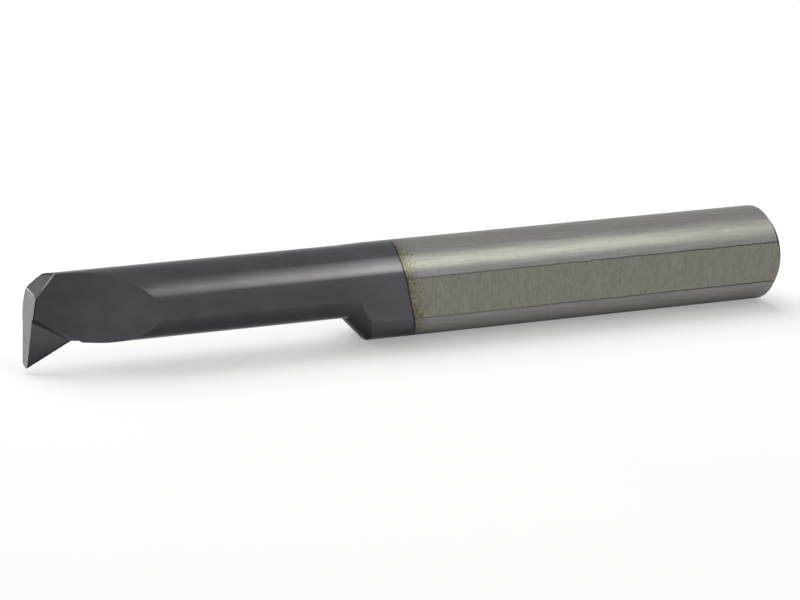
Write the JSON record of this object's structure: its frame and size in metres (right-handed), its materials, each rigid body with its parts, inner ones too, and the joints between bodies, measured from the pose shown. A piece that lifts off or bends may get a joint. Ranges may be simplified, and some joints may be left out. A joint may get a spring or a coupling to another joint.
{
  "type": "boring bar",
  "caption": "One-piece solid carbide boring bar with a round shank, a clamping flat, an off-centre neck and a ground cutting nib.",
  "frame": {"origin": "on the shank's axis, where its full diameter begins behind the shoulder", "axes": "+X back along the shank, away from the cutting end; -Y out of the clamping flat, the way the rake face looks; -Z towards the side of the cutting tip"},
  "size_m": [0.0525, 0.0057, 0.006],
  "materials": {
    "carbide": "fine ground, bare along the shank, with a dark violet-grey coating on the head, the neck and the shank's front"
  },
  "bodies": {
    "root": {"boring_bar": "carbide"}
  },
  "joints": []
}
